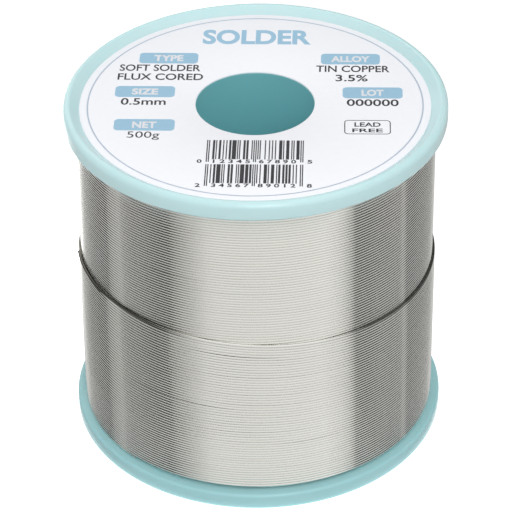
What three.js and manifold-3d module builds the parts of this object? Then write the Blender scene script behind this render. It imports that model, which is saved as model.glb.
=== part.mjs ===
// A full spool of soft solder wire: two moulded spool halves, a paper label and the wire wound on the drum.
// Millimetres, +Z up along the spindle bore, origin at the centre of the lower end, as the spool stands.
// Angles on the winding count from the front (-Y) towards +X.
import * as THREE from 'three';
import { mergeVertices } from 'three/addons/utils/BufferGeometryUtils.js';
import Module from 'manifold-3d';

const wasm = await Module();
wasm.setup();

// ---- Driving dimensions ----------------------------------------------------------------------------

const FLANGE_DIAMETER = 64;
const SPOOL_HEIGHT = 62.2;
const BORE_DIAMETER = 19.6;

const RIM_THICKNESS = 3.2; // flange, from its end to its wire side
const RIM_WIDTH = 2.7; // raised rim around the label seat
const RIM_LAND_WIDTH = 0.25; // the flat ring that the spool stands on
const RIM_END_ROUND = 1.0; // rim's outer edge at the end of the spool
const RIM_WIRE_ROUND = 0.5; // rim's outer edge on the wire side
const LABEL_SEAT_DEPTH = 1.3;

const DRUM_WALL = 2;
const BORE_TUBE_WALL = 2;
const RIB_COUNT = 6;
const RIB_THICKNESS = 1.4;
const SPIGOT_LENGTH = 4; // half the lower drum's wall goes on up into the upper drum, and centres it

const LABEL_THICKNESS = 0.2;

const WIRE_DIAMETER = 0.5;
const LAYER_COUNT = 23; // full layers, flange to flange
const WINDING_DEPTH_LEFT = 1.9; // from the outside of the full layers to the edge of the flange
const PART_LAYER_WIDTH = 29.8; // how far up the last, unfinished layer goes
const PART_LAYER_RISE = 2; // its edge climbs this much more towards the free end
const PART_LAYER_RISE_SPAN = 130; // degrees from the top of that climb to its foot
const FREE_END_ROOT = -50; // degrees
const FREE_END_TIP = -81.5; // degrees

// Clearances
const SPIGOT_CLEARANCE = 0.1;
const RIB_CLEARANCE = 0.5; // ribs stop short of the other half
const LABEL_CLEARANCE = 0.1;
const LAYER_GAP = 0.03;
const WIRE_TO_FLANGE = 0.1;
const FREE_END_GAP = 0.05;

// Facets
const ROUND_SEGMENTS = 48;
const EDGE_SEGMENTS = 4; // on each rounded edge of the rim
const WIRE_SIDES = 8;
const FREE_END_STEPS = 16;

// ---- Derived dimensions ----------------------------------------------------------------------------

const flangeRadius = FLANGE_DIAMETER / 2;
const boreRadius = BORE_DIAMETER / 2;
const seatRadius = flangeRadius - RIM_WIDTH;
const middle = SPOOL_HEIGHT / 2;

const layerStep = WIRE_DIAMETER * Math.sqrt(3) / 2; // each turn lies in the groove between two below
const packRadius = flangeRadius - WINDING_DEPTH_LEFT;
const drumRadius = packRadius - WIRE_DIAMETER - (LAYER_COUNT - 1) * layerStep;
const drumInnerRadius = drumRadius - DRUM_WALL;
const spigotRadius = drumRadius - DRUM_WALL / 2;
const boreTubeRadius = boreRadius + BORE_TUBE_WALL;

const windingFoot = RIM_THICKNESS + WIRE_TO_FLANGE;
const windingTop = SPOOL_HEIGHT - RIM_THICKNESS - WIRE_TO_FLANGE;
const partLayerRadius = packRadius + layerStep;

// ---- Materials -------------------------------------------------------------------------------------

const plastic = new THREE.MeshStandardMaterial({ color: 0xb4dedd, roughness: 0.4, metalness: 0 });
const paper = new THREE.MeshStandardMaterial({ color: 0xf3f4f9, roughness: 0.7, metalness: 0 });
const solder = new THREE.MeshStandardMaterial({ color: 0xb9b7b0, roughness: 0.3, metalness: 1 });

// ---- Shape helpers ---------------------------------------------------------------------------------

// A ring turned about Z from a closed outline of [radius, height] points, listed either way round.
function turned(outline) {
  const points = outline.map(([radius, height]) => new THREE.Vector2(radius, height));
  if (THREE.ShapeUtils.isClockWise(points)) points.reverse();
  points.push(points[0].clone());
  return new THREE.LatheGeometry(points, ROUND_SEGMENTS).rotateX(Math.PI / 2);
}

// A plain tube wall between two radii and two heights.
function wall(innerRadius, outerRadius, foot, top) {
  return turned([[innerRadius, foot], [outerRadius, foot], [outerRadius, top], [innerRadius, top]]);
}

// Points on a quarter round about a centre, from one angle in degrees to another.
function quarterRound(radius, height, round, from, to) {
  return Array.from({ length: EDGE_SEGMENTS + 1 }, (_, i) => {
    const angle = THREE.MathUtils.degToRad(from + (to - from) * i / EDGE_SEGMENTS);
    return [radius + round * Math.cos(angle), height + round * Math.sin(angle)];
  });
}

function toManifold(geometry) {
  const bare = geometry.clone();
  bare.deleteAttribute('normal');
  bare.deleteAttribute('uv');
  const merged = mergeVertices(bare, 1e-5);
  return new wasm.Manifold(new wasm.Mesh({
    numProp: 3,
    vertProperties: new Float32Array(merged.attributes.position.array),
    triVerts: new Uint32Array(merged.index.array),
  }));
}

function fromManifold(solid) {
  const { vertProperties, triVerts } = solid.getMesh();
  const geometry = new THREE.BufferGeometry();
  geometry.setAttribute('position', new THREE.BufferAttribute(vertProperties, 3));
  geometry.setIndex(new THREE.BufferAttribute(triVerts, 1));
  geometry.computeVertexNormals();
  return geometry;
}

function piece(name, geometry, material) {
  const mesh = new THREE.Mesh(geometry, material);
  mesh.name = name;
  return mesh;
}

// ---- Spool halves ----------------------------------------------------------------------------------

// The outside of a half, from the bore mouth round the rim to the drum at mid-height. Heights count
// from that half's own end.
function halfOutside() {
  const landOuter = flangeRadius - RIM_END_ROUND;
  return [
    [boreRadius, LABEL_SEAT_DEPTH],
    [seatRadius, LABEL_SEAT_DEPTH],
    [landOuter - RIM_LAND_WIDTH, 0],
    ...quarterRound(landOuter, RIM_END_ROUND, RIM_END_ROUND, -90, 0),
    ...quarterRound(flangeRadius - RIM_WIRE_ROUND, RIM_THICKNESS - RIM_WIRE_ROUND, RIM_WIRE_ROUND, 0, 90),
    [drumRadius, RIM_THICKNESS],
    [drumRadius, middle],
  ];
}

// The hollow between drum and bore tube, open at mid-height, with the flange as its floor.
function halfInside() {
  return [
    [drumInnerRadius, RIM_THICKNESS],
    [boreTubeRadius, RIM_THICKNESS],
    [boreTubeRadius, middle],
    [boreRadius, middle],
  ];
}

// The inner half of the lower drum's wall, standing above the seam.
function spigot() {
  const outer = spigotRadius - SPIGOT_CLEARANCE;
  return [
    [outer, middle],
    [outer, middle + SPIGOT_LENGTH],
    [drumInnerRadius, middle + SPIGOT_LENGTH],
  ];
}

// The step in the upper drum's wall that the spigot goes into.
function socket() {
  const floor = middle - SPIGOT_LENGTH - SPIGOT_CLEARANCE;
  return [
    [spigotRadius, middle],
    [spigotRadius, floor],
    [drumInnerRadius, floor],
  ];
}

function ribs(top) {
  const overlap = DRUM_WALL / 2;
  const inner = boreTubeRadius - overlap;
  const outer = drumInnerRadius + overlap;
  const foot = RIM_THICKNESS - overlap;
  return Array.from({ length: RIB_COUNT }, (_, i) =>
    new THREE.BoxGeometry(outer - inner, RIB_THICKNESS, top - foot)
      .translate((outer + inner) / 2, 0, (top + foot) / 2)
      .rotateZ(2 * Math.PI * i / RIB_COUNT));
}

function halfWithRibs(outline, ribTop) {
  return ribs(ribTop).reduce((solid, rib) => solid.add(toManifold(rib)), toManifold(turned(outline)));
}

function lowerHalf() {
  const outline = [...halfOutside(), ...spigot(), ...halfInside()];
  return fromManifold(halfWithRibs(outline, middle - RIB_CLEARANCE));
}

function upperHalf() {
  const outline = [...halfOutside(), ...socket(), ...halfInside()];
  const solid = halfWithRibs(outline, middle - SPIGOT_LENGTH - RIB_CLEARANCE);
  return fromManifold(solid).rotateX(Math.PI).translate(0, 0, SPOOL_HEIGHT);
}

// ---- Label -----------------------------------------------------------------------------------------

function label() {
  const foot = SPOOL_HEIGHT - LABEL_SEAT_DEPTH;
  return wall(boreRadius + LABEL_CLEARANCE, seatRadius - LABEL_CLEARANCE, foot, foot + LABEL_THICKNESS);
}

// ---- Wire ------------------------------------------------------------------------------------------

// One full layer of turns. The first lies on the drum, and each of the others in the grooves below it.
function fullLayer(number) {
  const outer = drumRadius + WIRE_DIAMETER + (number - 1) * layerStep;
  const inner = number === 1 ? drumRadius : outer - layerStep;
  return wall(inner + LAYER_GAP, outer, windingFoot, windingTop);
}

// Height of the unfinished layer's edge at an angle in degrees.
function partLayerEdge(angle) {
  const fromTip = THREE.MathUtils.euclideanModulo(angle - FREE_END_TIP + 180, 360) - 180;
  const share = Math.min(Math.abs(fromTip) / PART_LAYER_RISE_SPAN, 1);
  const climb = PART_LAYER_RISE * (1 + Math.cos(Math.PI * share)) / 2;
  return RIM_THICKNESS + PART_LAYER_WIDTH + climb;
}

function partLayer() {
  const top = RIM_THICKNESS + PART_LAYER_WIDTH;
  const geometry = wall(packRadius + LAYER_GAP, partLayerRadius, windingFoot, top);
  const position = geometry.attributes.position;
  for (let i = 0; i < position.count; i++) {
    if (position.getZ(i) < top - LAYER_GAP) continue;
    const angle = THREE.MathUtils.radToDeg(Math.atan2(position.getX(i), -position.getY(i)));
    position.setZ(i, partLayerEdge(angle));
  }
  return geometry;
}

// The free end lies on the outside of the unfinished layer, just below its edge.
class FreeEndPath extends THREE.Curve {
  getPoint(t, target = new THREE.Vector3()) {
    const degrees = FREE_END_ROOT + (FREE_END_TIP - FREE_END_ROOT) * t;
    const angle = THREE.MathUtils.degToRad(degrees);
    const radius = partLayerRadius + FREE_END_GAP + WIRE_DIAMETER / 2;
    const height = partLayerEdge(degrees) - WIRE_DIAMETER / 2;
    return target.set(radius * Math.sin(angle), -radius * Math.cos(angle), height);
  }
}

function freeEnd() {
  const section = new THREE.Shape();
  section.absarc(0, 0, WIRE_DIAMETER / 2, 0, 2 * Math.PI);
  return new THREE.ExtrudeGeometry(section, {
    curveSegments: WIRE_SIDES / 2,
    steps: FREE_END_STEPS,
    extrudePath: new FreeEndPath(),
  });
}

// ---- The assembly ----------------------------------------------------------------------------------

const spool = new THREE.Group();
spool.add(
  piece('spool_half_lower', lowerHalf(), plastic),
  piece('spool_half_upper', upperHalf(), plastic),
  piece('label', label(), paper),
);

const wire = new THREE.Group();
for (let number = 1; number <= LAYER_COUNT; number++) {
  wire.add(piece(`wire_layer_${String(number).padStart(2, '0')}`, fullLayer(number), solder));
}
wire.add(
  piece('wire_part_layer', partLayer(), solder),
  piece('wire_free_end', freeEnd(), solder),
);

const solderSpool = new THREE.Group();
solderSpool.add(spool, wire);

export default solderSpool;
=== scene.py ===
import math

import bmesh
import bpy
from mathutils import Matrix, Vector, noise


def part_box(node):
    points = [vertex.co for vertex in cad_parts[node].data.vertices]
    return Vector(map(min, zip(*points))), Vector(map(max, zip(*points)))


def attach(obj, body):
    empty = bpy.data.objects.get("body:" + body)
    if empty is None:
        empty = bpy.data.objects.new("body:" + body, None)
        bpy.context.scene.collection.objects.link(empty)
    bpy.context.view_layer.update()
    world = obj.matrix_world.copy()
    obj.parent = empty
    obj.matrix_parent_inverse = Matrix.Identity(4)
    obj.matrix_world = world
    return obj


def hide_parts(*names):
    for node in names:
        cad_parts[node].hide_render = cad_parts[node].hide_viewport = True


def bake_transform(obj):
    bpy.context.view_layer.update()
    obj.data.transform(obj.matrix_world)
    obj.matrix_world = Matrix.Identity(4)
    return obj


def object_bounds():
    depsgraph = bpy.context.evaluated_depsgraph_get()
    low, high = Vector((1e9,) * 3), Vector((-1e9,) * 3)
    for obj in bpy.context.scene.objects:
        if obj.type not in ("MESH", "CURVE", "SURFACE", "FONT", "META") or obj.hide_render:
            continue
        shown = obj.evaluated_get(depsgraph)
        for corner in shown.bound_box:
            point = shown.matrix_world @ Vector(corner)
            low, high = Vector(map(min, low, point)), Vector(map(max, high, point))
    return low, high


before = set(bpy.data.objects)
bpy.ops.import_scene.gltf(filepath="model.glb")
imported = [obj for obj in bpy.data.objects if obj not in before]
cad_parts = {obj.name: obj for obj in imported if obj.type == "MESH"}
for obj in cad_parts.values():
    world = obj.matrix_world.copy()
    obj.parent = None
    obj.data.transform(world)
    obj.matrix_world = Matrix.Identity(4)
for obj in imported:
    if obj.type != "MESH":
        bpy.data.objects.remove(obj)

cad_bounds = [list(corner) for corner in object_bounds()]
mm = 0.001


# ---- Camera ------------------------------------------------------------------------------------------
# A long lens half a metre in front of the spool, looking down on it at about 35 degrees, so that the
# label, the winding and both rims show. It leans by less than a degree.

spool_middle = Vector((0, 0, cad_bounds[1][2] / 2))
camera_elevation = math.radians(34.84)
camera_distance = 477.1 * mm
camera_lean = math.radians(-0.71)

camera_data = bpy.data.cameras.new("camera")
camera_data.lens = 194.9
camera_data.sensor_width = 36
camera_data.shift_x = -0.0019
camera_data.shift_y = -0.0091
camera_data.clip_start = 0.01
camera = bpy.data.objects.new("camera", camera_data)
bpy.context.collection.objects.link(camera)
away = Vector((0, -math.cos(camera_elevation), math.sin(camera_elevation)))
camera.matrix_world = (
    Matrix.Translation(spool_middle + camera_distance * away)
    @ Matrix.Rotation(math.pi / 2 - camera_elevation, 4, "X")
    @ Matrix.Rotation(camera_lean, 4, "Z")
)
bpy.context.scene.camera = camera


# ---- Spool halves ------------------------------------------------------------------------------------
# The spool is moulded in pale turquoise polystyrene, in two halves that meet at mid-height inside the
# winding. Each is a flange with a raised round rim and a label seat, half of the drum, half of the bore
# tube, and six ribs between them. The lower drum's step goes into the upper one, where it is glued.

flange_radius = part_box("spool_half_upper")[1].x
spool_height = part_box("spool_half_upper")[1].z
rim_thickness = 3.2 * mm
rim_end_round = 1.0 * mm
rim_land_width = 0.25 * mm
rim_slope_width = 1.45 * mm
rim_wire_round = 0.5 * mm
rim_inner_round = 0.2 * mm
seat_depth = 1.3 * mm
seat_radius = 29.3 * mm
seat_round = 0.12 * mm
bore_radius = 9.8 * mm
bore_edge_round = 0.1 * mm
bore_tube_wall = 2 * mm
wire_radius = 0.25 * mm
drum_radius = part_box("wire_layer_01")[1].x - 2 * wire_radius
drum_wall = 2 * mm
spigot_length = 4 * mm
spigot_clearance = 0.1 * mm
rib_thickness = 1.4 * mm
rib_count = 6
rib_foot_overlap = 0.5 * mm
rib_top_gap = 0.5 * mm
seam = spool_height / 2
round_sides = 192


def only(piece):
    """Nothing else is selected, and this piece is the active one."""
    if bpy.context.mode != "OBJECT":
        bpy.ops.object.mode_set(mode="OBJECT")
    bpy.ops.object.select_all(action="DESELECT")
    piece.select_set(True)
    bpy.context.view_layer.objects.active = piece
    return piece


def just_added(name):
    """The primitive that was just added, with its place moved into its mesh."""
    piece = only(bpy.context.object)
    bpy.ops.object.transform_apply(location=True, rotation=True, scale=True)
    piece.name = piece.data.name = name
    return piece


def edit(piece, mode):
    only(piece)
    bpy.ops.object.mode_set(mode="EDIT")
    bpy.ops.mesh.select_mode(type=mode)
    bpy.ops.mesh.select_all(action="DESELECT")


def pick_faces(piece, test):
    """Selects the faces whose middle and normal pass the test."""
    mesh = bmesh.from_edit_mesh(piece.data)
    for face in mesh.faces:
        face.select_set(test(face.calc_center_median(), face.normal))
    bmesh.update_edit_mesh(piece.data)


def pick_ring(piece, radius, height, near=0.02 * mm):
    """Selects the edges that run round the axis at a radius and a height."""
    bpy.ops.mesh.select_mode(type="EDGE")
    mesh = bmesh.from_edit_mesh(piece.data)
    for edge in mesh.edges:
        edge.select_set(all(
            abs(Vector(end.co.xy).length - radius) < near and abs(end.co.z - height) < near
            for end in edge.verts
        ))
    bmesh.update_edit_mesh(piece.data)


def inset(width, depth=0.0):
    bpy.ops.mesh.inset(thickness=width, depth=depth)


def extrude_up(rise):
    bpy.ops.mesh.extrude_region_move(TRANSFORM_OT_translate={"value": (0, 0, rise)})


def open_through(piece, x=0.0, y=0.0):
    """Takes away the two flat faces centred at x and y, and joins their edges with a tube."""
    bpy.ops.mesh.select_mode(type="FACE")
    pick_faces(piece, lambda middle, normal: math.hypot(middle.x - x, middle.y - y) < 0.01 * mm)
    bpy.ops.mesh.delete(type="ONLY_FACE")
    bpy.ops.mesh.select_mode(type="EDGE")
    bpy.ops.mesh.select_all(action="DESELECT")
    bpy.ops.mesh.select_non_manifold()
    bpy.ops.mesh.bridge_edge_loops()


def bevel_ring(piece, radius, height, width, segments):
    pick_ring(piece, radius, height)
    bpy.ops.mesh.bevel(offset=width, segments=segments, affect="EDGES", profile=0.5)


def finish_shell(piece):
    """Closes doubles, turns the faces outwards and shades the piece smooth but for its sharp edges."""
    bpy.ops.mesh.select_all(action="SELECT")
    bpy.ops.mesh.remove_doubles(threshold=1e-7)
    bpy.ops.mesh.normals_make_consistent(inside=False)
    bpy.ops.object.mode_set(mode="OBJECT")
    bpy.ops.object.shade_smooth_by_angle(angle=math.radians(30))


def rib_cross(foot, top):
    """The six ribs of one half, which run into the bore tube and the drum."""
    inner = bore_radius + bore_tube_wall / 2
    outer = drum_radius - drum_wall / 2
    bars = []
    for number in range(rib_count):
        bpy.ops.mesh.primitive_cube_add(
            size=1,
            location=((inner + outer) / 2, 0, (foot + top) / 2),
            scale=(outer - inner, rib_thickness, abs(top - foot)),
        )
        bar = just_added("rib")
        bar.data.transform(Matrix.Rotation(2 * math.pi * number / rib_count, 4, "Z"))
        bars.append(bar)
    only(bars[0])
    for bar in bars:
        bar.select_set(True)
    bpy.ops.object.join()
    return bars[0]


def spool_half(name, end, inwards, spigot):
    """One moulding. end is the height of its open end, and inwards is 1 or -1, the way to the seam."""
    bpy.ops.mesh.primitive_cylinder_add(
        vertices=round_sides, radius=flange_radius, depth=rim_thickness,
        location=(0, 0, end + inwards * rim_thickness / 2),
    )
    half = just_added(name)
    edit(half, "FACE")
    pick_faces(half, lambda middle, normal: normal.z * inwards < -0.9)
    inset(rim_end_round + rim_land_width)
    inset(rim_slope_width, -seat_depth)
    inset(seat_radius - bore_radius)
    bpy.ops.mesh.select_all(action="DESELECT")
    pick_faces(half, lambda middle, normal: normal.z * inwards > 0.9)
    inset(flange_radius - drum_radius)
    extrude_up(inwards * (seam - rim_thickness))
    step = spigot_length if spigot else -spigot_length - spigot_clearance
    lap = drum_wall / 2 + (spigot_clearance if spigot else 0)
    inset(lap)
    extrude_up(inwards * step)
    inset(drum_wall - lap)
    extrude_up(-inwards * (seam + step - rim_thickness))
    inset(drum_radius - drum_wall - bore_radius - bore_tube_wall)
    extrude_up(inwards * (seam - rim_thickness))
    inset(bore_tube_wall)
    open_through(half)
    land_inner = flange_radius - rim_end_round - rim_land_width
    bevel_ring(half, flange_radius, end, rim_end_round, 8)
    bevel_ring(half, flange_radius, end + inwards * rim_thickness, rim_wire_round, 5)
    bevel_ring(half, land_inner, end, rim_inner_round, 4)
    bevel_ring(half, seat_radius, end + inwards * seat_depth, seat_round, 2)
    bevel_ring(half, bore_radius, end + inwards * seat_depth, bore_edge_round, 2)
    finish_shell(half)
    rib_top = seam - (rib_top_gap if spigot else spigot_length + rib_top_gap)
    cross = rib_cross(end + inwards * (rim_thickness - rib_foot_overlap), end + inwards * rib_top)
    joint = only(half).modifiers.new("ribs", "BOOLEAN")
    joint.operation = "UNION"
    joint.solver = "EXACT"
    joint.object = cross
    bpy.ops.object.modifier_apply(modifier="ribs")
    bpy.data.objects.remove(cross)
    return half


def polystyrene(name, shade, pale):
    """Glossy moulded plastic, a little see-through, with a faint cloud in its colour."""
    plastic = bpy.data.materials.new(name)
    plastic.use_nodes = True
    nodes, links = plastic.node_tree.nodes, plastic.node_tree.links
    shader = nodes["Principled BSDF"]
    shader.inputs["IOR"].default_value = 1.5
    shader.inputs["Specular IOR Level"].default_value = 0.35
    shader.inputs["Subsurface Weight"].default_value = 0.25
    shader.inputs["Subsurface Radius"].default_value = (0.4, 0.9, 1.0)
    shader.inputs["Subsurface Scale"].default_value = 1.5 * mm
    place = nodes.new("ShaderNodeTexCoord")
    cloud = nodes.new("ShaderNodeTexNoise")
    cloud.inputs["Scale"].default_value = 60
    cloud.inputs["Detail"].default_value = 4
    links.new(place.outputs["Object"], cloud.inputs["Vector"])
    tint = nodes.new("ShaderNodeMix")
    tint.data_type = "RGBA"
    tint.inputs["A"].default_value = (*shade, 1)
    tint.inputs["B"].default_value = (*pale, 1)
    links.new(cloud.outputs["Fac"], tint.inputs["Factor"])
    # Painted shade: the bore is given a deeper, darker colour than the rest, for the shade inside it.
    apart = nodes.new("ShaderNodeSeparateXYZ")
    links.new(place.outputs["Object"], apart.inputs["Vector"])
    level = nodes.new("ShaderNodeCombineXYZ")
    links.new(apart.outputs["X"], level.inputs["X"])
    links.new(apart.outputs["Y"], level.inputs["Y"])
    reach = nodes.new("ShaderNodeVectorMath")
    reach.operation = "LENGTH"
    links.new(level.outputs["Vector"], reach.inputs[0])
    at_bore = nodes.new("ShaderNodeMapRange")
    at_bore.inputs["From Min"].default_value = bore_radius + 0.3 * mm
    at_bore.inputs["From Max"].default_value = bore_radius + 0.1 * mm
    links.new(reach.outputs["Value"], at_bore.inputs["Value"])
    painted_bore_shade = nodes.new("ShaderNodeMix")
    painted_bore_shade.data_type = "RGBA"
    painted_bore_shade.inputs["B"].default_value = (0.185, 0.49, 0.525, 1)
    links.new(tint.outputs["Result"], painted_bore_shade.inputs["A"])
    links.new(at_bore.outputs["Result"], painted_bore_shade.inputs["Factor"])
    links.new(painted_bore_shade.outputs["Result"], shader.inputs["Base Color"])
    gloss = nodes.new("ShaderNodeMapRange")
    gloss.inputs["To Min"].default_value = 0.20
    gloss.inputs["To Max"].default_value = 0.28
    links.new(cloud.outputs["Fac"], gloss.inputs["Value"])
    links.new(gloss.outputs["Result"], shader.inputs["Roughness"])
    grain = nodes.new("ShaderNodeTexNoise")
    grain.inputs["Scale"].default_value = 2600
    grain.inputs["Detail"].default_value = 3
    links.new(place.outputs["Object"], grain.inputs["Vector"])
    skin = nodes.new("ShaderNodeBump")
    skin.inputs["Strength"].default_value = 0.05
    skin.inputs["Distance"].default_value = 0.05 * mm
    links.new(grain.outputs["Fac"], skin.inputs["Height"])
    links.new(skin.outputs["Normal"], shader.inputs["Normal"])
    return plastic


lower_half = spool_half("spool_lower_moulding", 0, 1, spigot=True)
upper_half = spool_half("spool_upper_moulding", spool_height, -1, spigot=False)
# The lower half takes a darker copy of the same plastic: painted shade, for the lower flange, which lies in
# less light than the upper one.
lower_plastic = polystyrene("turquoise_polystyrene_painted_shade", (0.345, 0.615, 0.640), (0.375, 0.645, 0.670))
upper_plastic = polystyrene("turquoise_polystyrene", (0.540, 0.755, 0.770), (0.575, 0.785, 0.800))
for half, plastic, node in (
    (lower_half, lower_plastic, "spool_half_lower"),
    (upper_half, upper_plastic, "spool_half_upper"),
):
    half.data.materials.clear()
    half.data.materials.append(plastic)
    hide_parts(node)
    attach(half, "wound_spool")


# ---- Label -------------------------------------------------------------------------------------------
# A round label of coated white paper with a hole for the spindle, stuck in the seat of the upper end.
# It sits about two degrees off square.

label_low, label_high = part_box("label")
label_radius = label_high.x
label_hole = bore_radius + 0.1 * mm
label_edge_round = 0.06 * mm
label_turn = Matrix.Rotation(math.radians(-2), 4, "Z")

bpy.ops.mesh.primitive_cylinder_add(
    vertices=round_sides, radius=label_radius, depth=label_high.z - label_low.z,
    location=(0, 0, (label_low.z + label_high.z) / 2),
)
label = just_added("label_paper")


def pierce(piece, wall, x=0.0, y=0.0):
    """Leaves a wall of this width round a hole right through the piece."""
    edit(piece, "FACE")
    for side in (1, -1):
        bpy.ops.mesh.select_all(action="DESELECT")
        pick_faces(piece, lambda middle, normal: normal.z * side > 0.9)
        inset(wall)
    open_through(piece, x, y)


pierce(label, label_radius - label_hole)
bevel_ring(label, label_radius, label_high.z, label_edge_round, 2)
bevel_ring(label, label_hole, label_high.z, label_edge_round, 2)
finish_shell(label)

paper = bpy.data.materials.new("coated_paper")
paper.use_nodes = True
nodes, links = paper.node_tree.nodes, paper.node_tree.links
shader = nodes["Principled BSDF"]
place = nodes.new("ShaderNodeTexCoord")
fibre = nodes.new("ShaderNodeTexNoise")
fibre.inputs["Scale"].default_value = 900
fibre.inputs["Detail"].default_value = 6
links.new(place.outputs["Object"], fibre.inputs["Vector"])
tint = nodes.new("ShaderNodeMix")
tint.data_type = "RGBA"
tint.inputs["A"].default_value = (0.86, 0.87, 0.91, 1)
tint.inputs["B"].default_value = (0.90, 0.905, 0.94, 1)
links.new(fibre.outputs["Fac"], tint.inputs["Factor"])
links.new(tint.outputs["Result"], shader.inputs["Base Color"])
gloss = nodes.new("ShaderNodeMapRange")
gloss.inputs["To Min"].default_value = 0.5
gloss.inputs["To Max"].default_value = 0.65
links.new(fibre.outputs["Fac"], gloss.inputs["Value"])
links.new(gloss.outputs["Result"], shader.inputs["Roughness"])
skin = nodes.new("ShaderNodeBump")
skin.inputs["Strength"].default_value = 0.12
skin.inputs["Distance"].default_value = 0.02 * mm
links.new(fibre.outputs["Fac"], skin.inputs["Height"])
links.new(skin.outputs["Normal"], shader.inputs["Normal"])
label.data.materials.clear()
label.data.materials.append(paper)
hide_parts("label")
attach(label, "wound_spool")


# ---- Label print -------------------------------------------------------------------------------------
# Printed in light blue for the heading and the caption fields, a paler blue for the fine circle, and
# dark grey for the data, the box and the two bar codes. The captions are white. The words and numbers
# are general ones. Each print is a film that rises a hundredth or two of a millimetre above the paper.

ink_top = label_high.z + 0.012 * mm
caption_top = ink_top + 0.008 * mm
ink_film = 0.03 * mm


def words(text, x, y, height, width, bold=0.0, top=ink_top):
    """A line of capitals or digits centred at x and y, of a given height and width."""
    bpy.ops.object.text_add(location=(0, 0, 0))
    line = only(bpy.context.object)
    line.data.body = text
    line.data.size = 10 * mm
    line.data.offset = bold
    line.data.resolution_u = 4
    line.data.extrude = ink_film / 2
    bpy.ops.object.convert(target="MESH")
    corners = [v.co for v in line.data.vertices]
    low = [min(c[k] for c in corners) for k in range(2)]
    high = [max(c[k] for c in corners) for k in range(2)]
    centre = Matrix.Translation((-(low[0] + high[0]) / 2, -(low[1] + high[1]) / 2, 0))
    stretch = Matrix.Diagonal((width / (high[0] - low[0]), height / (high[1] - low[1]), 1, 1))
    line.data.transform(label_turn @ Matrix.Translation((x, y, top - ink_film / 2)) @ stretch @ centre)
    return line


def panel(x, y, width, height, corner=0.0, line=0.0):
    """A panel centred at x and y, with round corners, or its outline where a line width is given."""
    bpy.ops.mesh.primitive_cube_add(size=1, location=(x, y, ink_top - ink_film / 2))
    bpy.context.object.scale = (width, height, ink_film)
    plate = just_added("panel")
    if corner:
        edit(plate, "EDGE")
        mesh = bmesh.from_edit_mesh(plate.data)
        for edge in mesh.edges:
            edge.select_set(abs(edge.verts[0].co.z - edge.verts[1].co.z) > ink_film / 2)
        bpy.ops.mesh.bevel(offset=corner, segments=6, affect="EDGES")
    if line:
        pierce(plate, line, x, y)
    if bpy.context.mode != "OBJECT":
        bpy.ops.object.mode_set(mode="OBJECT")
    plate.data.transform(label_turn)
    return plate


# Widths of the bars and gaps of each digit in the common retail code, in modules.
digit_widths = ["3211", "2221", "2122", "1411", "1132", "1231", "1114", "1312", "1213", "3112"]
guard_length = 0.8 * mm
modules_across = 95
ink_spread = 0.12


def bar_code(digits, x, y, width, height):
    """The bars of twelve digits, with longer guard bars at the ends and in the middle."""
    module = width / modules_across
    bars = []
    at = 0

    def add(widths, dark, length):
        nonlocal at
        for figure in widths:
            size = int(figure)
            if dark:
                bars.append((at + size / 2, size, length))
            at += size
            dark = not dark

    add("111", True, height + guard_length)
    for digit in digits[:6]:
        add(digit_widths[int(digit)], False, height)
    add("11111", False, height + guard_length)
    for digit in digits[6:]:
        add(digit_widths[int(digit)], True, height)
    add("111", True, height + guard_length)
    return [
        panel(
            x - width / 2 + middle * module, y + (height - length) / 2,
            (size + ink_spread) * module, length,
        )
        for middle, size, length in bars
    ]


def joined(name, pieces, ink):
    """One printed ink, in one piece."""
    only(pieces[0])
    for piece in pieces:
        piece.select_set(True)
    bpy.ops.object.join()
    layer = pieces[0]
    layer.name = layer.data.name = name
    layer.data.materials.clear()
    layer.data.materials.append(ink)
    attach(layer, "wound_spool")


def printing_ink(name, dark, light, roughness):
    """An ink that lies a little unevenly on the paper."""
    ink = bpy.data.materials.new(name)
    ink.use_nodes = True
    nodes, links = ink.node_tree.nodes, ink.node_tree.links
    shader = nodes["Principled BSDF"]
    shader.inputs["Roughness"].default_value = roughness
    place = nodes.new("ShaderNodeTexCoord")
    speckle = nodes.new("ShaderNodeTexNoise")
    speckle.inputs["Scale"].default_value = 1800
    speckle.inputs["Detail"].default_value = 3
    links.new(place.outputs["Object"], speckle.inputs["Vector"])
    tint = nodes.new("ShaderNodeMix")
    tint.data_type = "RGBA"
    tint.inputs["A"].default_value = (*dark, 1)
    tint.inputs["B"].default_value = (*light, 1)
    links.new(speckle.outputs["Fac"], tint.inputs["Factor"])
    links.new(tint.outputs["Result"], shader.inputs["Base Color"])
    return ink


blue_ink = printing_ink("light_blue_ink", (0.35, 0.61, 0.80), (0.40, 0.66, 0.85), 0.5)
grey_ink = printing_ink("dark_grey_ink", (0.030, 0.030, 0.036), (0.050, 0.050, 0.058), 0.5)
white_ink = printing_ink("knocked_out_white", (0.86, 0.88, 0.92), (0.90, 0.91, 0.95), 0.55)

field_width = 10 * mm
field_height = 3.5 * mm
fields = {
    "TYPE": (-15.1 * mm, 14.3 * mm, 5.0 * mm),
    "ALLOY": (15.8 * mm, 14.3 * mm, 6.6 * mm),
    "SIZE": (-18.5 * mm, 3.4 * mm, 4.4 * mm),
    "LOT": (19.5 * mm, 3.4 * mm, 3.7 * mm),
    "NET": (-18.0 * mm, -7.0 * mm, 4.0 * mm),
}
blue_pieces = [words("SOLDER", -0.3 * mm, 21.5 * mm, 4.9 * mm, 18.6 * mm, bold=0.35 * mm)]
white_pieces = []
for caption, (x, y, width) in fields.items():
    blue_pieces.append(panel(x, y, field_width, field_height, corner=0.8 * mm))
    white_pieces.append(words(caption, x, y, 2.0 * mm, width, bold=0.4 * mm, top=caption_top))

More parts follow.
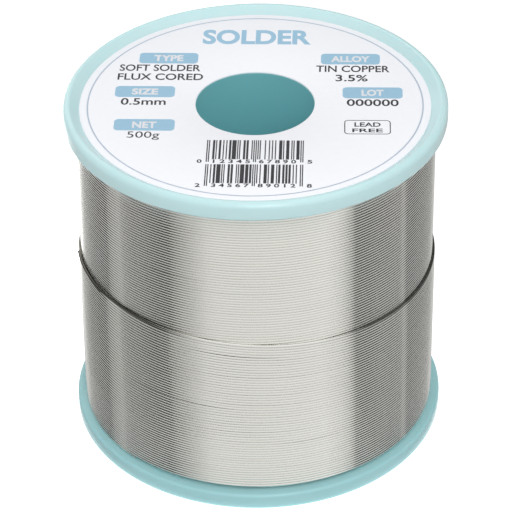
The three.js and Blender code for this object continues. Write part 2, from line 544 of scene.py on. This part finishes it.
circle_radius = 27.95 * mm
bpy.ops.mesh.primitive_cylinder_add(
    vertices=round_sides, radius=circle_radius, depth=ink_film, location=(0, 0, ink_top - ink_film / 2))
circle = just_added("circle")
pierce(circle, 0.25 * mm)
bpy.ops.object.mode_set(mode="OBJECT")
pale_ink = printing_ink("pale_blue_ink", (0.48, 0.56, 0.68), (0.54, 0.62, 0.74), 0.5)
joined("label_fine_circle", [circle], pale_ink)

letter = 2.1 * mm
data_bold = 0.15 * mm
grey_pieces = [
    words("SOFT SOLDER", -16.4 * mm, 11.1 * mm, letter, 13.7 * mm, bold=data_bold),
    words("FLUX CORED", -16.2 * mm, 8.2 * mm, letter, 14.4 * mm, bold=data_bold),
    words("TIN COPPER", 16.2 * mm, 11.1 * mm, letter, 12.4 * mm, bold=data_bold),
    words("3.5%", 16.0 * mm, 8.1 * mm, letter, 5.4 * mm, bold=data_bold),
    words("0.5mm", -18.6 * mm, 0.25 * mm, letter, 7.5 * mm, bold=data_bold),
    words("000000", 19.5 * mm, 0.3 * mm, letter, 8.6 * mm, bold=data_bold),
    words("500g", -18.0 * mm, -10.3 * mm, 2.5 * mm, 5.3 * mm),
    panel(18.6 * mm, -7.3 * mm, 7.6 * mm, 4.3 * mm, corner=0.7 * mm, line=0.16 * mm),
    words("LEAD", 18.6 * mm, -6.5 * mm, 1.3 * mm, 4.3 * mm, bold=0.2 * mm),
    words("FREE", 18.6 * mm, -8.3 * mm, 1.1 * mm, 5.0 * mm, bold=0.2 * mm),
]
bar_width = 15.7 * mm
for digits, x, top_edge, height in (
    ("012345678905", 0.4 * mm, -11.5 * mm, 5.7 * mm),
    ("234567890128", 0.4 * mm, -18.7 * mm, 5.5 * mm),
):
    grey_pieces += bar_code(digits, x, top_edge - height / 2, bar_width, height)
    below = top_edge - height - 0.62 * mm
    for figures, across, wide in (
        (digits[:1], -8.9, 0.8), (" ".join(digits[1:6]), -3.7, 6.0),
        (" ".join(digits[6:11]), 3.7, 6.0), (digits[11:], 8.9, 0.8),
    ):
        grey_pieces.append(
            words(figures, x + across * mm, below, 1.05 * mm, wide * mm, bold=0.25 * mm))
joined("label_blue_print", blue_pieces, blue_ink)
joined("label_white_captions", white_pieces, white_ink)
joined("label_dark_print", grey_pieces, grey_ink)


# ---- Wire on the drum --------------------------------------------------------------------------------
# One bright tin-copper solder wire of half a millimetre, wound turn beside turn. Each layer lies in the
# grooves of the one below. The inner layers never show while the spool is full.

layer_count = 23
traverse_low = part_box("wire_layer_23")[0].z + wire_radius
traverse_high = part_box("wire_layer_23")[1].z - wire_radius
full_layer_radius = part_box("wire_layer_23")[1].x - wire_radius
turns_per_layer = 110
turn_pitch = (traverse_high - traverse_low) / turns_per_layer


def solder_metal(name, ridges=False, outermost=False):
    """Bright drawn solder with a faint bloom. Where it clothes a plain ring, ridges stand for its turns."""
    metal = bpy.data.materials.new(name)
    metal.use_nodes = True
    nodes, links = metal.node_tree.nodes, metal.node_tree.links
    shader = nodes["Principled BSDF"]
    shader.inputs["Metallic"].default_value = 1
    place = nodes.new("ShaderNodeTexCoord")
    along = nodes.new("ShaderNodeMapping")
    along.inputs["Scale"].default_value = (90, 90, 1400)
    links.new(place.outputs["Object"], along.inputs["Vector"])
    bloom = nodes.new("ShaderNodeTexNoise")
    bloom.inputs["Scale"].default_value = 1
    bloom.inputs["Detail"].default_value = 5
    links.new(along.outputs["Vector"], bloom.inputs["Vector"])
    tint = nodes.new("ShaderNodeMix")
    tint.data_type = "RGBA"
    tint.inputs["A"].default_value = (0.84, 0.835, 0.79, 1)
    tint.inputs["B"].default_value = (0.90, 0.895, 0.855, 1)
    links.new(bloom.outputs["Fac"], tint.inputs["Factor"])
    links.new(tint.outputs["Result"], shader.inputs["Base Color"])
    gloss = nodes.new("ShaderNodeMapRange")
    gloss.inputs["To Min"].default_value = 0.03
    gloss.inputs["To Max"].default_value = 0.07
    links.new(bloom.outputs["Fac"], gloss.inputs["Value"])
    links.new(gloss.outputs["Result"], shader.inputs["Roughness"])
    skin = nodes.new("ShaderNodeBump")
    links.new(skin.outputs["Normal"], shader.inputs["Normal"])
    if ridges:
        turns = nodes.new("ShaderNodeTexWave")
        turns.bands_direction = "Z"
        turns.inputs["Scale"].default_value = math.pi / (10 * turn_pitch)
        links.new(place.outputs["Object"], turns.inputs["Vector"])
        skin.inputs["Strength"].default_value = 0.9
        skin.inputs["Distance"].default_value = wire_radius
        links.new(turns.outputs["Fac"], skin.inputs["Height"])
    else:
        skin.inputs["Strength"].default_value = 0.01
        skin.inputs["Distance"].default_value = 0.01 * mm
        links.new(bloom.outputs["Fac"], skin.inputs["Height"])
    if outermost:
        # Painted shade and dark reflection: darker towards the spool's sides, a colour for the dark line
        # that the outermost wire makes there, which the light tent alone doesn't give.
        shader.inputs["Specular Tint"].default_value = (0.35, 0.35, 0.35, 1)
        apart = nodes.new("ShaderNodeSeparateXYZ")
        links.new(place.outputs["Object"], apart.inputs["Vector"])
        across = nodes.new("ShaderNodeMapRange")
        across.inputs["From Min"].default_value = -30 * mm
        across.inputs["From Max"].default_value = 30 * mm
        links.new(apart.outputs["X"], across.inputs["Value"])
        side_shade = nodes.new("ShaderNodeValToRGB")
        stops = side_shade.color_ramp.elements
        stops[0].position = 0.20
        stops[0].color = (0.26, 0.255, 0.24, 1)
        stops[1].position = 0.90
        stops[1].color = (0.50, 0.50, 0.49, 1)
        stops.new(0.32).color = (1, 1, 1, 1)
        stops.new(0.72).color = (1, 1, 1, 1)
        links.new(across.outputs["Result"], side_shade.inputs["Fac"])
        shaded = nodes.new("ShaderNodeMix")
        shaded.data_type = "RGBA"
        shaded.blend_type = "MULTIPLY"
        shaded.inputs["Factor"].default_value = 1
        links.new(tint.outputs["Result"], shaded.inputs["A"])
        links.new(side_shade.outputs["Color"], shaded.inputs["B"])
        links.new(shaded.outputs["Result"], shader.inputs["Base Color"])
    return metal


round_solder = solder_metal("drawn_solder")
layered_solder = solder_metal("wound_solder", ridges=True)
for number in range(1, layer_count):
    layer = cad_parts[f"wire_layer_{number:02d}"]
    layer.data.materials.clear()
    layer.data.materials.append(layered_solder)


# ---- Outer layers, turn by turn ----------------------------------------------------------------------
# The last full layer was wound downwards. Its upper half shows. The wire then turned at the lower
# flange and climbed again, to stop a little above half-way. That last layer's edge climbs towards the
# free end at the left.

def angle_of(point):
    """Degrees round the axis from the front towards the right."""
    return math.degrees(math.atan2(point.x, -point.y))


def coil(name, radius, foot, turns, pitch, hand, start, steps, sides=12):
    """Turns of wire from foot upwards. hand is 1 where it climbs to the right, and start is in degrees."""
    bpy.ops.mesh.primitive_circle_add(
        vertices=sides, radius=wire_radius, location=(radius, 0, foot), rotation=(math.pi / 2, 0, 0))
    wire = just_added(name)
    wire.data.transform(Matrix.Rotation(math.radians(start - 90), 4, "Z"))
    climb = wire.modifiers.new("turns", "SCREW")
    climb.axis = "Z"
    climb.angle = 2 * math.pi * hand
    climb.screw_offset = pitch
    climb.iterations = turns
    climb.steps = climb.render_steps = steps
    climb.use_smooth_shade = True
    bpy.ops.object.modifier_apply(modifier="turns")
    edit(wire, "EDGE")
    bpy.ops.mesh.select_non_manifold()
    bpy.ops.mesh.fill_holes(sides=0)
    bpy.ops.mesh.select_all(action="SELECT")
    bpy.ops.mesh.normals_make_consistent(inside=False)
    bpy.ops.object.mode_set(mode="OBJECT")
    bpy.ops.object.shade_smooth_by_angle(angle=math.radians(50))
    return wire


uneven_upwards = 0.007 * mm
uneven_outwards = 0.005 * mm


def along_wire(point, foot, pitch, hand, start):
    """How many turns a point lies from the wire's foot."""
    part = (hand * (angle_of(point) - start) / 360) % 1
    return part + round((point.z - foot) / pitch - part)


def unevenness(turn, seed):
    """The small wander of a turn beside its neighbours, about -1 to 1."""
    return 2 * noise.noise(Vector((turn * 2.3, seed, 0.5)))


def shift(point, outwards, upwards):
    flat = Vector((point.x, point.y, 0))
    point += flat.normalized() * outwards + Vector((0, 0, upwards))


def dress(wire, foot, pitch, hand, start, lift):
    """Moves the turns a little off their even places, and lifts them where lift says."""
    for vertex in wire.data.vertices:
        point = vertex.co
        turn = along_wire(point, foot, pitch, hand, start)
        height = foot + turn * pitch
        outwards = unevenness(turn, 7.0) * uneven_outwards - uneven_outwards
        upwards = unevenness(turn, 1.0) * uneven_upwards + lift(angle_of(point), height)
        shift(point, outwards, upwards)


edge_height = 32.75 * mm
edge_rise = 2 * mm
edge_rise_span = 130
edge_fan = 20 * mm
free_end_tip = -81.5


def edge_lift(angle):
    """How much higher the last turn lies at an angle than at its lowest."""
    off = abs((angle - free_end_tip + 180) % 360 - 180)
    return edge_rise * (1 + math.cos(math.pi * min(off / edge_rise_span, 1))) / 2


slack_reach = 4 * mm


def slack(angle, height, at, middle, half_width, gap):
    """Opens a gap above the turn at one height, over part of the way round, and closes it higher up."""
    across = abs(angle - middle) / half_width
    above = (height - at) / slack_reach
    if across >= 1 or above < 0 or above >= 1:
        return 0
    return gap * (1 + math.cos(math.pi * across)) / 2 * (1 - above)


def part_layer_lift(angle, height):
    fan = max(0, 1 - (edge_height - height) / edge_fan)
    gaps = (
        slack(angle, height, 30.4 * mm, -8, 22, 0.10 * mm)
        + slack(angle, height, 19.9 * mm, -28, 24, 0.12 * mm)
        + slack(angle, height, 12.6 * mm, 18, 20, 0.06 * mm)
    )
    return fan * edge_lift(angle) + gaps


def full_layer_lift(angle, height):
    return slack(angle, height, 45.2 * mm, -30, 16, 0.05 * mm)


layer_rise = 0.433 * mm
part_layer_radius = full_layer_radius + layer_rise
part_foot = 3.62 * mm
part_turns = 58
darker_turns = 0.96
part_pitch = (edge_height - part_foot) / part_turns
free_end_start = -44

hidden_turns = 56
lower_turns = coil("wire_full_layer_lower", full_layer_radius, traverse_low, hidden_turns, turn_pitch,
                   hand=1, start=0, steps=64, sides=8)
upper_foot = traverse_low + hidden_turns * turn_pitch
upper_turns = coil("wire_full_layer_upper", full_layer_radius, upper_foot, turns_per_layer - hidden_turns,
                   turn_pitch, hand=1, start=0, steps=144)
dress(upper_turns, upper_foot, turn_pitch, 1, 0, full_layer_lift)
part_layer = coil("wire_last_layer", part_layer_radius, part_foot, part_turns, part_pitch,
                  hand=-1, start=free_end_start, steps=140)
last_turn = [
    face.index for face in part_layer.data.polygons
    if along_wire(face.center, part_foot, part_pitch, -1, free_end_start) > part_turns - darker_turns
]
dress(part_layer, part_foot, part_pitch, -1, free_end_start, part_layer_lift)

for turns, node in ((lower_turns, "wire_layer_23"), (upper_turns, "wire_layer_23"),
                    (part_layer, "wire_part_layer")):
    turns.data.materials.clear()
    turns.data.materials.append(round_solder)
    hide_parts(node)
    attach(turns, "wound_spool")
# The last turn takes this wire, with its painted shade and dark reflection at the spool's sides.
outermost_solder = solder_metal("outermost_solder", outermost=True)
part_layer.data.materials.append(outermost_solder)
for number in last_turn:
    part_layer.data.polygons[number].material_index = 1


# ---- Free end ----------------------------------------------------------------------------------------
# The wire's last two centimetres, which stand a little off the winding at the left. The end is nipped
# with cutters, and shows the core of resin flux.

free_end_steps = 40
lift_off = 0.3 * mm
lift_off_share = 0.45


def free_end_point(share):
    """The middle of the wire, from the end of the last turn at 0 to its nipped tip at 1."""
    angle = free_end_start + (free_end_tip - free_end_start) * share
    ease = min(share / lift_off_share, 1)
    radius = part_layer_radius - uneven_outwards + lift_off * ease * ease * (3 - 2 * ease)
    turn = math.radians(angle)
    return Vector((radius * math.sin(turn), -radius * math.cos(turn), edge_height + edge_lift(angle)))


bpy.ops.curve.primitive_nurbs_path_add()
free_end = bpy.context.object
free_end.data.splines.clear()
spline = free_end.data.splines.new("POLY")
spline.points.add(free_end_steps)
for number, knot in enumerate(spline.points):
    knot.co = (*free_end_point(number / free_end_steps), 1)
free_end.data.bevel_depth = wire_radius
free_end.data.bevel_resolution = 4
free_end.data.use_fill_caps = True
only(free_end)
bpy.ops.object.convert(target="MESH")
free_end = just_added("wire_free_end_strand")
free_end.data.materials.clear()
# The free end takes the outermost wire, with its painted shade and dark reflection at the sides.
free_end.data.materials.append(outermost_solder)

flux = bpy.data.materials.new("resin_flux")
flux.use_nodes = True
nodes, links = flux.node_tree.nodes, flux.node_tree.links
shader = nodes["Principled BSDF"]
shader.inputs["Roughness"].default_value = 0.35
place = nodes.new("ShaderNodeTexCoord")
clouding = nodes.new("ShaderNodeTexNoise")
clouding.inputs["Scale"].default_value = 9000
links.new(place.outputs["Object"], clouding.inputs["Vector"])
tint = nodes.new("ShaderNodeMix")
tint.data_type = "RGBA"
tint.inputs["A"].default_value = (0.55, 0.36, 0.12, 1)
tint.inputs["B"].default_value = (0.74, 0.55, 0.24, 1)
links.new(clouding.outputs["Fac"], tint.inputs["Factor"])
links.new(tint.outputs["Result"], shader.inputs["Base Color"])
free_end.data.materials.append(flux)

tip = free_end_point(1)
edit(free_end, "FACE")
bpy.ops.mesh.select_all(action="SELECT")
bpy.ops.mesh.normals_make_consistent(inside=False)
bpy.ops.mesh.select_all(action="DESELECT")
pick_faces(free_end, lambda middle, normal: (middle - tip).length < 0.05 * mm)
inset(0.04 * mm, 0.03 * mm)
inset(0.11 * mm)
inset(0.01 * mm, -0.03 * mm)
free_end.active_material_index = 1
bpy.ops.object.material_slot_assign()
bpy.ops.object.mode_set(mode="OBJECT")
bpy.ops.object.shade_smooth_by_angle(angle=math.radians(40))
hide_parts("wire_free_end")
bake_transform(free_end)


# ---- Bench and light ---------------------------------------------------------------------------------
# A plain pale bench inside a round light tent of white cloth. Dark and grey panels hang in the tent at
# both sides, and the bright wire mirrors them as upright bands.

bpy.ops.mesh.primitive_plane_add(size=8, location=(0, 0, 0))
bench = just_added("bench_top")
white_top = bpy.data.materials.new("white_bench")
white_top.use_nodes = True
shader = white_top.node_tree.nodes["Principled BSDF"]
shader.inputs["Base Color"].default_value = (0.9, 0.9, 0.9, 1)
shader.inputs["Roughness"].default_value = 0.8
shader.inputs["Emission Color"].default_value = (1, 1, 1, 1)
shader.inputs["Emission Strength"].default_value = 0.75
bench.data.materials.append(white_top)

scene = bpy.context.scene
scene.view_settings.view_transform = "Standard"
scene.view_settings.look = "None"
world = bpy.data.worlds.new("studio")
scene.world = world
world.use_nodes = True
world.node_tree.nodes["Background"].inputs["Color"].default_value = (1, 1, 1, 1)
nodes, links = world.node_tree.nodes, world.node_tree.links
way = nodes.new("ShaderNodeTexCoord")
apart = nodes.new("ShaderNodeSeparateXYZ")
links.new(way.outputs["Generated"], apart.inputs["Vector"])
sky = nodes.new("ShaderNodeMapRange")
sky.inputs["To Min"].default_value = 0.12
sky.inputs["To Max"].default_value = 1.22
links.new(apart.outputs["Z"], sky.inputs["Value"])
links.new(sky.outputs["Result"], nodes["Background"].inputs["Strength"])

backdrop_radius = 3.9
bpy.ops.mesh.primitive_cylinder_add(
    vertices=128, radius=backdrop_radius, depth=8, end_fill_type="NOTHING", location=(0, 0, 3.9))
backdrop = just_added("backdrop")
paper_roll = bpy.data.materials.new("backdrop_paper")
paper_roll.use_nodes = True
shader = paper_roll.node_tree.nodes["Principled BSDF"]
shader.inputs["Base Color"].default_value = (0.9, 0.9, 0.9, 1)
shader.inputs["Emission Color"].default_value = (1, 1, 1, 1)
shader.inputs["Emission Strength"].default_value = 1
backdrop.data.materials.append(paper_roll)
backdrop.visible_diffuse = False
backdrop.visible_glossy = False
backdrop.visible_shadow = False

tent_radius = 0.9
tent_height = 1.5
tent_sides = 720
floor_hole_radius = 33 * mm
# Degrees round from the front towards the right, and how bright the cloth is there.
wall_cloth = (
    (-180, 0.5), (-172, 1.0), (-164, 1.5), (-150, 1.4), (-144, 0.8), (-138, 0.42), (-132, 0.26),
    (-122, 0.10), (-115, 0.03), (-99, 0.02), (-97, 0.42), (-92, 0.50), (-87, 0.46), (-85, 0.06),
    (-80, 0.02), (-76, 0.06), (-64, 0.06), (-58, 0.02), (-52, 0.02), (-50, 0.34), (-44, 0.46),
    (-36, 0.70), (-30, 0.92), (-18, 0.95), (0, 0.95), (36, 1.02), (54, 1.08), (57, 0.90),
    (59, 0.10), (62, 0.05), (78, 0.07), (93, 0.04), (95, 0.6), (97, 0.6), (99, 0.04), (117, 0.07),
    (127, 0.10), (136, 0.10), (146, 0.06), (160, 0.03), (180, 0.2),
)
floor_cloth = (
    (-180, 0.5), (-174, 2.0), (-166, 5.0), (-148, 5.0), (-138, 3.2), (-130, 1.6), (-122, 0.88),
    (-110, 0.72), (-56, 0.60), (-40, 0.75), (0, 0.82), (46, 0.84), (53, 0.68), (120, 0.70),
    (135, 0.68), (150, 0.40), (170, 0.3), (180, 0.4),
)


def cloth_at(angle, places):
    """The brightness of the tent's cloth at an angle, even between the table's places."""
    for (left, dim), (right, bright) in zip(places, places[1:]):
        if left <= angle <= right:
            return dim + (bright - dim) * (angle - left) / (right - left)
    return places[0][1]


def cloth_piece(piece, places):
    """Gives a piece of the tent its lit cloth, which the camera doesn't see directly."""
    glow = piece.data.color_attributes.new("cloth", "FLOAT_COLOR", "POINT")
    for vertex in piece.data.vertices:
        shade = cloth_at(angle_of(vertex.co), places)
        glow.data[vertex.index].color = (shade, shade, shade, 1)
    piece.data.materials.append(cloth)
    piece.visible_camera = False


cloth = bpy.data.materials.new("tent_cloth")
cloth.use_nodes = True
nodes, links = cloth.node_tree.nodes, cloth.node_tree.links
nodes.remove(nodes["Principled BSDF"])
shine = nodes.new("ShaderNodeEmission")
shades = nodes.new("ShaderNodeVertexColor")
shades.layer_name = "cloth"
shine.inputs["Strength"].default_value = 0.87
links.new(shades.outputs["Color"], shine.inputs["Color"])
links.new(shine.outputs["Emission"], nodes["Material Output"].inputs["Surface"])
bpy.ops.mesh.primitive_cylinder_add(
    vertices=tent_sides, radius=tent_radius, depth=tent_height, end_fill_type="NOTHING",
    location=(0, 0, tent_height / 2))
walls = just_added("tent_wall")
cloth_piece(walls, wall_cloth)
bpy.ops.mesh.primitive_cylinder_add(
    vertices=tent_sides, radius=tent_radius, depth=0.2 * mm, location=(0, 0, 0.3 * mm))
panels = just_added("floor_panels")
pierce(panels, tent_radius - floor_hole_radius)
bpy.ops.object.mode_set(mode="OBJECT")
cloth_piece(panels, floor_cloth)
walls.visible_diffuse = False
walls.visible_shadow = False
panels.visible_shadow = False

# A round soft light in front, a little to the right, draws the bright line along the plastic's edges.
# It is kept off the wire, which would turn it into glare.
edge_light = bpy.data.lights.new("edge_light", "AREA")
edge_light.shape = "DISK"
edge_light.size = 0.35
edge_light.energy = 2.8
lamp = bpy.data.objects.new("edge_light", edge_light)
bpy.context.collection.objects.link(lamp)
lamp_way = Matrix.Rotation(math.radians(5), 3, "Z") @ Vector((0, -0.74, 0.67))
lamp.matrix_world = Matrix.Translation(lamp_way) @ lamp_way.to_track_quat("Z", "Y").to_matrix().to_4x4()
lamp.visible_camera = False
lit_by_it = bpy.data.collections.new("lit_by_edge_light")
for piece in (lower_half, upper_half, label):
    lit_by_it.objects.link(piece)
lamp.light_linking.receiver_collection = lit_by_it
